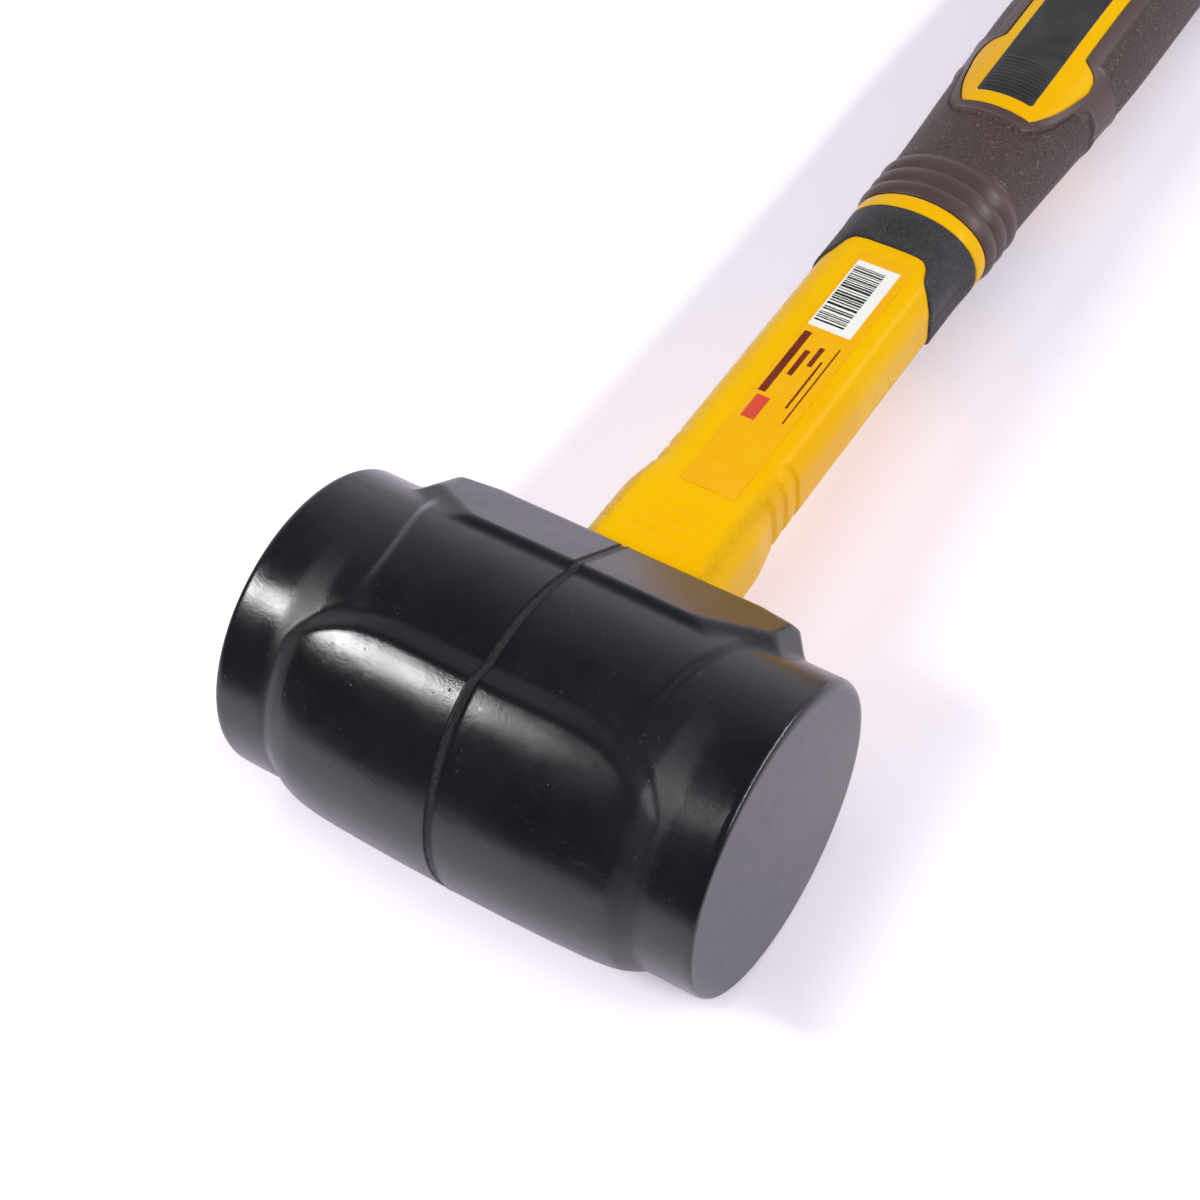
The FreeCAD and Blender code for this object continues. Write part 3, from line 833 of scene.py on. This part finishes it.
def makeRing():
    start, end, rounding = ringBand["start"], ringBand["end"], ringBand["round"]
    profile = [(start, 4.0)] + [(start + rounding * (1 - math.cos(math.radians(15 * step))),
                                 rounding * (1 - math.sin(math.radians(15 * step)))) for step in range(7)]
    profile += [(place, -0.08) for place in np.linspace(start + 1.4, end - 1.4, 5)]
    profile += [(end - rounding * (1 - math.cos(math.radians(15 * step))),
                 rounding * (1 - math.sin(math.radians(15 * step)))) for step in range(6, -1, -1)]
    profile += [(end, 4.0)]
    turns = np.linspace(0, 2 * math.pi, 160, endpoint=False)
    rows = []
    for place, inset in profile:
        rows.append(np.stack([(ringBand["halfWidth"] - inset) * np.cos(turns),
                              np.full(len(turns), place),
                              (ringBand["halfThickness"] - inset) * np.sin(turns)], axis=-1))
    points = np.concatenate(rows)
    faces = gridFaces(len(rows), len(turns), True, True)
    piece = addPiece("jacketRing", points, faces, {"sandy": np.zeros(len(points))})
    finishPiece(piece, finishes["jacket"], "jacket_plastic", "shaft_jacket")


makeShaft()
makeRing()


collar = {
    "end": 149.3,
    "proud": 0.6,
    "wall": 1.9,
    "edge": 0.7,
    "flareStart": 140.5,       # from here it swells to meet the ring
    "flareEnd": 148.4,
    "belowRing": 0.12,
    "fullness": 2.12,          # 2 is a plain ellipse
}


def collarStart(across):
    # lower edge of the collar: high over the tongue, down past its corners to the sides
    size = np.abs(across)
    return alongCurve([(0.0, 138.6), (5.0, 138.5), (8.0, 138.0), (9.5, 136.6), (10.2, 134.8),
                       (10.9, 133.2), (12.4, 131.6), (13.8, 130.2), (14.7, 129.8)], size)


def makeCollar():
    plan = ringPlan(40, 60, 12)
    places = np.array([140.0])
    across, up = shaftSection(plan, places)
    across, up = across[0], up[0]
    start = collarStart(across)
    rows = []
    depth = -(collar["wall"] - collar["proud"])
    edge = collar["edge"]
    lowEdge = [(0.0, depth)]
    for step in range(6):
        angle = math.radians(90 * step / 5)
        lowEdge.append((edge * (1 - math.cos(angle)), collar["proud"] - edge * (1 - math.sin(angle))))
    shares = np.linspace(0, 1, 14)[1:-1]
    length = collar["end"] - start
    for inset, skin in lowEdge:
        rows.append((start + inset, skin))
    for share in shares:
        rows.append((start + edge + (length - 2 * edge) * share, collar["proud"]))
    for inset, skin in reversed(lowEdge):
        rows.append((collar["end"] - inset, skin))
    seamDip = 0.25 * bump(0.4, 0.30, up) * (np.abs(across) > 10)
    power = collar["fullness"] / 2
    turn = np.arctan2(np.abs(up / ringBand["halfThickness"]) ** power,
                      np.abs(across / ringBand["halfWidth"]) ** power)
    points = []
    for place, skin in rows:
        lift = np.full(len(plan), skin) - (seamDip if skin > 0.2 else 0.0)
        drop = collar["belowRing"] + collar["proud"] - lift
        flare = easeBetween(collar["flareStart"], collar["flareEnd"], place)
        flare = flare * (1.0 if skin > -0.5 else 0.0)
        wide = np.sign(across) * (ringBand["halfWidth"] - drop) * np.cos(turn) ** (1 / power)
        high = np.sign(up) * (ringBand["halfThickness"] - drop) * np.sin(turn) ** (1 / power)
        points.append(np.stack([(across + plan[:, 2] * lift) * (1 - flare) + wide * flare,
                                place * np.ones(len(plan)),
                                (up + plan[:, 3] * lift) * (1 - flare) + high * flare], axis=-1))
    faces = gridFaces(len(rows), len(plan), True, True)
    piece = addPiece("collarBand", np.concatenate(points), faces)
    finishPiece(piece, finishes["collar"], "collar_rubber", "collar")
    print("collar", len(piece.data.polygons), "faces")


makeCollar()


grip = {
    "start": 153.5,
    "end": 300.0,
    "halfWidths": [(153.5, 16.0), (168.0, 16.2), (201.5, 17.8), (235.0, 19.0), (262.0, 19.0),
                   (284.0, 19.6), (300.0, 19.6)],
    "halfThicknesses": [(153.5, 12.0), (168.0, 12.1), (201.5, 13.35), (235.0, 14.3), (262.0, 14.3),
                        (284.0, 14.8), (300.0, 14.8)],
    "buttRound": 7.0,
    "ridgePitch": 4.8,
    "ridgeHeight": 0.8,
    "neckEnd": 168.0,
    "beadHeight": 0.28,
    "beadWidth": 0.55,
    "bandLift": 0.18,
    "bandEnd": 215.2,
    "holePlace": 286.0,
    "holeRadius": 4.5,
}
beadLine = [(0, 184.2), (27, 184.4), (37, 187.0), (46, 191.0), (51, 196.0), (57.5, 202.0), (65, 203.3),
            (79, 203.5), (90, 202.5)]       # degrees round the section, place along the handle
windowOutline = [(188.2, 8.2), (190.0, 9.4), (197.0, 12.2), (203.0, 13.5), (207.5, 14.2), (210.0, 14.0),
                 (212.0, 13.0), (213.2, 11.0), (213.9, 10.15), (216.0, 10.0), (260.0, 10.0)]
windowPad = {"end": 270.0, "round": 10.0, "depth": 1.3, "edge": 0.5, "gap": 0.16}
inlay = {"start": 192.2, "end": 266.0, "halfWidth": 7.0, "corner": 1.0, "proud": 0.12,
         "ribStart": 193.6, "ribEnd": 205.6, "ribPitch": 1.2, "ribHeight": 0.16}


def windowHalfWidth(place):
    place = np.asarray(place, dtype=float)
    straight = windowPad["end"] - windowPad["round"]
    width = alongCurve(windowOutline, np.minimum(place, straight))
    past = np.clip(place - straight, 0.0, windowPad["round"])
    return np.where(place > straight, np.sqrt(np.maximum(windowPad["round"] ** 2 - past ** 2, 0.0)), width)


def gripFront(across, place):
    halfWidth = alongCurve(grip["halfWidths"], place)
    halfThickness = alongCurve(grip["halfThicknesses"], place)
    return halfThickness * np.sqrt(np.clip(1 - (across / halfWidth) ** 2, 0.0, 1.0))


def windowPlaces(spacing):
    straightEnd = windowPad["end"] - windowPad["round"]
    places = spaced([(188.2, 190.0, 0.3), (190.0, 210.0, spacing), (210.0, 216.0, 0.2),
                     (216.0, straightEnd, spacing * 2)])
    tip = straightEnd + windowPad["round"] * np.sin(np.radians(np.linspace(4, 90, 24)))
    return np.concatenate([places, tip])


def windowGrid(places, grow, shares):
    # grid over the window, following the grip
    halfWidth = windowHalfWidth(places) + grow
    across = halfWidth[:, None] * shares[None, :]
    place = np.repeat(places[:, None], len(shares), axis=1)
    if grow:
        middle = (places[0] + places[-1]) / 2
        place = middle + (place - middle) * (1 + 2 * grow / (places[-1] - places[0]))
    return across, place


def faceUp(across, place, height, side):
    return np.stack([across, place, height * side], axis=-1)


def windowCutter(side):
    shares = np.linspace(-1, 1, 25)
    places = windowPlaces(1.2)
    across, place = windowGrid(places, windowPad["gap"], shares)
    surface = gripFront(across, place)
    return slabPiece("windowCutter", faceUp(across, place, surface + 4.0, side),
                     faceUp(across, place, surface - windowPad["depth"], side))


def makeHoleCutter():
    # straight through, with a rounded mouth at each side
    radius = grip["holeRadius"]
    mouth = [(12.4, radius), (13.6, radius + 0.3), (14.6, radius + 0.9), (15.4, radius + 1.9), (24.0, 12.0)]
    profile = [(-up, size) for up, size in reversed(mouth)] + mouth
    turns = np.linspace(0, 2 * math.pi, 72, endpoint=False)
    points = []
    for up, size in profile:
        for turn in turns:
            points.append(np.array([size * math.cos(turn), grip["holePlace"] + size * math.sin(turn), up]))
    faces = gridFaces(len(profile), len(turns), True)
    capRings(points, faces, range(len(turns)), (0, grip["holePlace"], profile[0][0]), ())
    capRings(points, faces, range((len(profile) - 1) * len(turns), len(profile) * len(turns)),
             (0, grip["holePlace"], profile[-1][0]), ())
    return addPiece("holeCutter", np.array(points), faces)


def makeGrip():
    endStraight = grip["end"] - grip["buttRound"]
    places = spaced([(grip["start"], 169.0, 0.3), (169.0, 183.0, 1.0), (183.0, 217.0, 0.3),
                     (217.0, endStraight, 1.2)])
    quarter = spaced([(0, 30, 1.5), (30, 80, 1.0), (80, 90, 0.7)])   # degrees from the front, V axis
    quarterTurns = np.concatenate([quarter, 180 - quarter[-2::-1]])
    turns = np.radians(np.concatenate([quarterTurns, 360 - quarterTurns[-2:0:-1]]))
    place, turn = np.meshgrid(places, turns, indexing="ij")
    halfWidth = alongCurve(grip["halfWidths"], place)
    halfThickness = alongCurve(grip["halfThicknesses"], place)
    across = halfWidth * np.sin(turn)
    up = halfThickness * np.cos(turn)
    lean = np.stack([np.sin(turn) * halfThickness, np.cos(turn) * halfWidth], axis=-1)
    lean /= np.linalg.norm(lean, axis=-1, keepdims=True)

    fromFront = np.degrees(np.arcsin(np.abs(np.sin(turn))))
    bead = alongCurve(beadLine, fromFront)
    lift = np.zeros_like(place)
    # rounded ridges next to the ring
    phase = (place - grip["start"]) / grip["ridgePitch"]
    onRidge = easeBetween(grip["neckEnd"] + 0.4, grip["neckEnd"] - 0.8, place)
    lift += grip["ridgeHeight"] * np.abs(np.sin(np.pi * phase)) ** 0.75 * onRidge
    lift -= 0.25 * bump(grip["neckEnd"] + 0.5, 0.5, place)
    # smooth band around the window, with a bead at its lower edge
    band = easeBetween(bead - 0.3, bead + 0.5, place)
    bandStop = easeBetween(grip["bandEnd"] + 0.5, grip["bandEnd"] - 0.3, place)
    outsideWindow = np.abs(across) - windowHalfWidth(np.clip(place, 188.2, 270.0))
    nearWindow = easeBetween(3.4, 2.8, outsideWindow) * easeBetween(273.5, 272.5, place) * (place > 200)
    smooth = np.maximum(band * bandStop, nearWindow)
    lift += grip["bandLift"] * smooth
    lift += grip["beadHeight"] * bump(bead + 0.7, grip["beadWidth"], place)
    lift -= 0.22 * bump(bead - 0.5, 0.45, place)
    sideOnly = easeBetween(40.0, 50.0, fromFront)
    lift += 0.22 * bump(grip["bandEnd"], 0.5, place) * sideOnly
    lift -= 0.15 * bump(0.0, 0.35, up) * easeBetween(299.0, 290.0, place)
    across = across + lean[..., 0] * lift
    up = up + lean[..., 1] * lift

    textured = easeBetween(grip["neckEnd"] + 0.6, grip["neckEnd"] + 1.6, place) * (1 - smooth)
    points = list(np.stack([across, place, up], axis=-1).reshape(-1, 3))
    masks = list(textured.ravel())
    rows = len(places)
    columns = len(turns)
    buttWidth = grip["halfWidths"][-1][1]
    buttThickness = grip["halfThicknesses"][-1][1]
    for step in range(1, 13):
        angle = math.radians(90 * step / 12)
        inset = grip["buttRound"] * (1 - math.cos(angle))
        rowPlace = endStraight + grip["buttRound"] * math.sin(angle)
        for t in turns:
            points.append(np.array([(buttWidth - inset) * math.sin(t), rowPlace,
                                    (buttThickness - inset) * math.cos(t)]))
            masks.append(max(0.0, 1.0 - step / 4))
        rows += 1
    faces = gridFaces(rows, columns, True)
    capRings(points, faces, range(columns), (0, grip["start"], 0), (0.6,))
    lastRow = range((rows - 1) * columns, rows * columns)
    capRings(points, faces, lastRow, (0, grip["end"], 0), (0.8, 0.5, 0.2))
    masks += [0.0] * (len(points) - len(masks))
    piece = addPiece("gripSleeve", np.array(points), faces, {"textured": masks})
    for side in (1, -1):
        cutAway(piece, windowCutter(side))
    cutAway(piece, makeHoleCutter())
    tidyNormals(piece, 38.0)
    finishPiece(piece, finishes["grip"], "grip_rubber", "grip")
    print("grip", len(piece.data.polygons), "faces")


def makePad(name, side):
    edgeShares = 1 - np.array([0.0, 0.008, 0.02, 0.04, 0.07])
    shares = np.concatenate([-edgeShares, np.linspace(-0.9, 0.9, 25), edgeShares[::-1]])
    places = windowPlaces(1.2)
    across, place = windowGrid(places, 0.0, shares)
    surface = gripFront(across, place)
    halfWidth = windowHalfWidth(places)[:, None]
    fromEdge = np.minimum(halfWidth - np.abs(across), np.minimum(place - places[0], places[-1] - place))
    edge = np.clip(1 - fromEdge / windowPad["edge"], 0.0, 1.0)
    drop = windowPad["edge"] * (1 - np.sqrt(np.clip(1 - edge ** 2, 0.0, 1.0)))
    top = surface + 0.02 - drop
    piece = slabPiece(name, faceUp(across, place, top, side),
                      faceUp(across, place, surface - windowPad["depth"] + 0.05, side),
                      {"sandy": np.zeros(top.shape)})
    finishPiece(piece, finishes["jacket"], "jacket_plastic", "shaft_jacket")


def makeInlay(name, side, node):
    corner = inlay["corner"]
    places = spaced([(inlay["start"], inlay["start"] + 1.0, 0.15), (inlay["start"] + 1.0, 207.0, 0.15),
                     (207.0, inlay["end"] - 1.0, 1.2), (inlay["end"] - 1.0, inlay["end"], 0.15)])
    inEnd = np.clip(corner - np.minimum(places - inlay["start"], inlay["end"] - places), 0.0, corner)
    halfWidth = inlay["halfWidth"] - corner + np.sqrt(corner ** 2 - inEnd ** 2)
    edgeShares = 1 - np.array([0.0, 0.01, 0.025, 0.05])
    shares = np.concatenate([-edgeShares, np.linspace(-0.9, 0.9, 19), edgeShares[::-1]])
    across = halfWidth[:, None] * shares[None, :]
    place = np.repeat(places[:, None], len(shares), axis=1)
    surface = gripFront(across, place)
    fromEdge = np.minimum(halfWidth[:, None] - np.abs(across),
                          np.minimum(place - places[0], places[-1] - place))
    edge = np.clip(1 - fromEdge / 0.3, 0.0, 1.0)
    top = surface + inlay["proud"] - 0.3 * (1 - np.sqrt(1 - edge ** 2))
    onRibs = easeBetween(inlay["ribStart"], inlay["ribStart"] + 0.5, place)
    onRibs *= easeBetween(inlay["ribEnd"], inlay["ribEnd"] - 0.5, place)
    onRibs *= easeBetween(6.3, 5.8, np.abs(across))
    wave = 0.5 - 0.5 * np.cos(2 * np.pi * (place - inlay["ribStart"]) / inlay["ribPitch"])
    top = top + inlay["ribHeight"] * wave * onRibs
    piece = slabPiece(name, faceUp(across, place, top, side), faceUp(across, place, surface - 0.8, side))
    finishPiece(piece, finishes["badge"], "badge_plastic", node)


makeGrip()
makePad("windowPadFront", 1)
makePad("windowPadBack", -1)
makeInlay("inlayFront", 1, "badge_front")
makeInlay("inlayBack", -1, "badge_back")
print("grip windows fitted")


label = {
    "start": 59.2,
    "end": 134.8,
    "left": -4.6,
    "right": 8.0,
    "film": 0.10,
}
whiteBlock = {"start": 109.5, "end": 131.8, "left": -3.9, "right": 6.1}
redBlock = {"start": 80.0, "end": 86.9, "left": -2.9, "right": 0.2}
stripes = {"start": 111.4, "end": 130.2, "left": -3.5, "right": 3.5, "bottom": 0.04, "top": 0.075}


def makePatch(name, start, end, left, right, height, thickness, material, steps=(2, 2)):
    # closed sheet that follows the shaft
    places = np.linspace(start, end, steps[0] + 1)
    acrosses = np.linspace(left, right, steps[1] + 1)
    place, across = np.meshgrid(places, acrosses, indexing="ij")
    surface = shaftFront(across, place)
    piece = slabPiece(name, faceUp(across, place, surface + height + thickness, 1),
                      faceUp(across, place, surface + height - 0.01, 1))
    finishPiece(piece, material, "label_film", "shaft_label")
    return piece


def makeStripes():
    # generic bars of changing width, from a fixed sequence
    rng = np.random.default_rng(5)
    place = stripes["start"]
    across = np.linspace(stripes["left"], stripes["right"], 7)
    points = []
    faces = []
    while place < stripes["end"]:
        width = float(rng.choice([0.22, 0.34, 0.5, 0.68], p=[0.35, 0.3, 0.2, 0.15]))
        gap = float(rng.choice([0.26, 0.36, 0.5, 0.7], p=[0.35, 0.35, 0.2, 0.1]))
        barPlace, barAcross = np.meshgrid([place, place + width], across, indexing="ij")
        film = shaftFront(barAcross, barPlace) + label["film"]
        barPoints, barFaces = slabShell(faceUp(barAcross, barPlace, film + stripes["top"], 1),
                                        faceUp(barAcross, barPlace, film + stripes["bottom"], 1))
        faces += [tuple(len(points) + index for index in face) for face in barFaces]
        points += list(barPoints)
        place += width + gap
    piece = addPiece("labelStripes", np.array(points), faces)
    finishPiece(piece, finishes["ink"], "label_film", "shaft_label")


def makeLabel():
    makePatch("labelFilm", label["start"], label["end"], label["left"], label["right"], 0.0,
              label["film"], finishes["film"], (60, 24))
    makePatch("labelWhiteBlock", whiteBlock["start"], whiteBlock["end"], whiteBlock["left"],
              whiteBlock["right"], label["film"], 0.05, finishes["paper"], (8, 12))
    makePatch("labelRedBlock", redBlock["start"], redBlock["end"], redBlock["left"],
              redBlock["right"], label["film"], 0.03, finishes["red"], (6, 6))
    makeStripes()
    # plain bars in place of words: start, end, left, right
    bars = [(88.0, 107.6, -3.4, -1.7), (94.6, 102.6, -0.5, 0.7), (98.6, 104.6, 1.9, 3.0),
            (86.0, 101.0, 4.0, 4.5), (82.0, 106.0, 5.6, 5.95)]
    for index, (start, end, left, right) in enumerate(bars):
        makePatch("labelBar" + str(index + 1), start, end, left, right, label["film"], 0.025,
                  finishes["maroon"], (6, 3))


makeLabel()
print("label laid")


for nodeName, material in (("core_rod", makeGlassRod()), ("socket_adhesive", makeAdhesive())):
    kept = frame["nodes"][nodeName]
    for slot in kept.material_slots:
        slot.material = material
    if not kept.material_slots:
        kept.data.materials.append(material)
print("kept nodes dressed")


room = {
    "floorColour": (0.91, 0.86, 0.96, 1.0),
    "floorReach": 3.0,          # metres
    "floorStart": -0.33,        # front edge of the table, metres
    "glowColour": (0.95, 0.90, 1.0, 1.0),
    # painted shade and light: the floor glow stays low in a band along the handle, a painted darker strip,
    # and rises by the head, to the sides and far away, painting out shadows there
    "glow": 0.25,               # near the handle
    "glowAtHead": 0.56,
    "glowInGloss": 0.07,
    "wallColour": (0.96, 0.94, 1.0, 1.0),
    "wallStrength": 0.75,       # pale wall behind the butt end
    "roomStrength": 0.06,
}
# name, way from the head to the lamp, distance, size along the lamp and across it, which way
# the lamp runs, level that it gives to paper lying on the floor, whether gloss shows it
lamps = [
    ("softboxLeft", (-0.566, -0.415, 0.712), 0.95, (0.35, 0.137), (-0.808, 0.453, -0.379), 0.32, True),
    ("stripLampRight", (1.15, 0.35, 1.0), 1.3, (1.8, 0.07), (0.0, 1.0, 0.0), 0.27, True),
    ("fillOverhead", (0.1, 0.1, 1.0), 1.3, (1.2, 1.0), (1.0, 0.0, 0.0), 0.30, False),
]


def addFloor():
    mesh = bpy.data.meshes.new("studioFloor")
    far = room["floorReach"]
    front = room["floorStart"]
    corners = [(-far, front, 0), (far, front, 0), (far, far, 0), (-far, far, 0)]
    mesh.from_pydata(corners, [], [(0, 1, 2, 3)])
    floor = bpy.data.objects.new("studioFloor", mesh)
    bpy.context.scene.collection.objects.link(floor)
    material, tree, shader = newMaterial("studioPaper")
    cloud = addGroup(tree, "mottle", Scale=3.0, Sharpness=0.4)
    pale = room["floorColour"]
    colour = blendColours(tree, cloud.outputs[0], pale, (pale[0] * 0.995, pale[1] * 0.995, pale[2], 1.0))
    tree.links.new(colour, shader.inputs["Base Color"])
    shader.inputs["Roughness"].default_value = 0.9
    shader.inputs["Specular IOR Level"].default_value = 0.1
    shader.inputs["Emission Color"].default_value = room["glowColour"]
    rays = addNode(tree, "ShaderNodeLightPath")
    place = objectPlace(tree)
    apart = addNode(tree, "ShaderNodeSeparateXYZ", {0: place})
    # painted shade and light: lower glow in a band along the handle paints a darker strip there, and higher
    # glow by the head, to the sides and far away paints out the shadows
    atHead = remap(tree, apart.outputs["Y"], -0.165, -0.140, room["glowAtHead"], room["glow"], True)
    aside = calculate(tree, "ABSOLUTE", apart.outputs["X"])
    besides = remap(tree, aside, 0.056, 0.082, room["glow"], room["glowAtHead"], True)
    distance = addNode(tree, "ShaderNodeVectorMath", {0: place}, operation="LENGTH").outputs["Value"]
    farAway = remap(tree, distance, 0.25, 0.80, 0.0, 1.0, True)
    seenGlow = calculate(tree, "MAXIMUM", calculate(tree, "MAXIMUM", atHead, besides), farAway)
    seenGlow = calculate(tree, "MULTIPLY", seenGlow, rays.outputs["Is Camera Ray"])
    glossy, through = rays.outputs["Is Glossy Ray"], rays.outputs["Is Transmission Ray"]
    mirrored = calculate(tree, "MAXIMUM", glossy, through)
    glow = calculate(tree, "MULTIPLY_ADD", mirrored, room["glowInGloss"], seenGlow)
    tree.links.new(glow, shader.inputs["Emission Strength"])
    mesh.materials.append(material)


def lampLevel(target, lamp, size, samples=40):
    # light on level paper at the target, per watt, from a lamp cut into small squares
    x, _, z = lamp.matrix_world.to_3x3().col
    total = 0.0
    for step in range(samples):
        at = lamp.matrix_world.translation + x * size[0] * ((step + 0.5) / samples - 0.5)
        way = at - target
        distance = way.length
        way.normalize()
        total += max(way.z, 0.0) * max(way.dot(z), 0.0) / distance ** 2 / samples
    return total / math.pi / math.pi


def addLamps():
    for name, way, distance, size, run, level, inGloss in lamps:
        data = bpy.data.lights.new(name, "AREA")
        data.shape = "RECTANGLE"
        data.size, data.size_y = size
        lamp = bpy.data.objects.new(name, data)
        away = Vector(way).normalized()
        across = away.cross(Vector(run)).normalized()
        along = across.cross(away)
        turn = Matrix((along, across, away)).transposed()
        lamp.matrix_world = Matrix.Translation(headCentre + away * distance) @ turn.to_4x4()
        bpy.context.scene.collection.objects.link(lamp)
        lamp.visible_glossy = inGloss
        data.energy = level / lampLevel(headCentre, lamp, size)
        print(name, round(data.energy, 2), "W")


def addWorld():
    world = bpy.data.worlds.new("studioRoom")
    world.use_nodes = True
    tree = world.node_tree
    backdrop = tree.nodes["Background"]
    direction = addNode(tree, "ShaderNodeTexCoord").outputs["Generated"]
    way = addNode(tree, "ShaderNodeSeparateXYZ", {0: direction})
    behind = remap(tree, way.outputs["Y"], -0.3, 0.6, 0.0, room["wallStrength"], True)
    low = remap(tree, way.outputs["Z"], 0.0, 0.88, 1.0, 0.0)
    strength = calculate(tree, "MULTIPLY_ADD", behind, low, room["roomStrength"])
    seen = addNode(tree, "ShaderNodeLightPath").outputs["Is Camera Ray"]
    strength = calculate(tree, "MAXIMUM", strength, seen)
    tree.links.new(strength, backdrop.inputs["Strength"])
    colour = blendColours(tree, seen, room["wallColour"], (1.0, 1.0, 1.0, 1.0))
    tree.links.new(colour, backdrop.inputs["Color"])
    bpy.context.scene.world = world


addFloor()
addLamps()
addWorld()
bpy.context.scene.view_settings.view_transform = "Standard"
print("room lit")
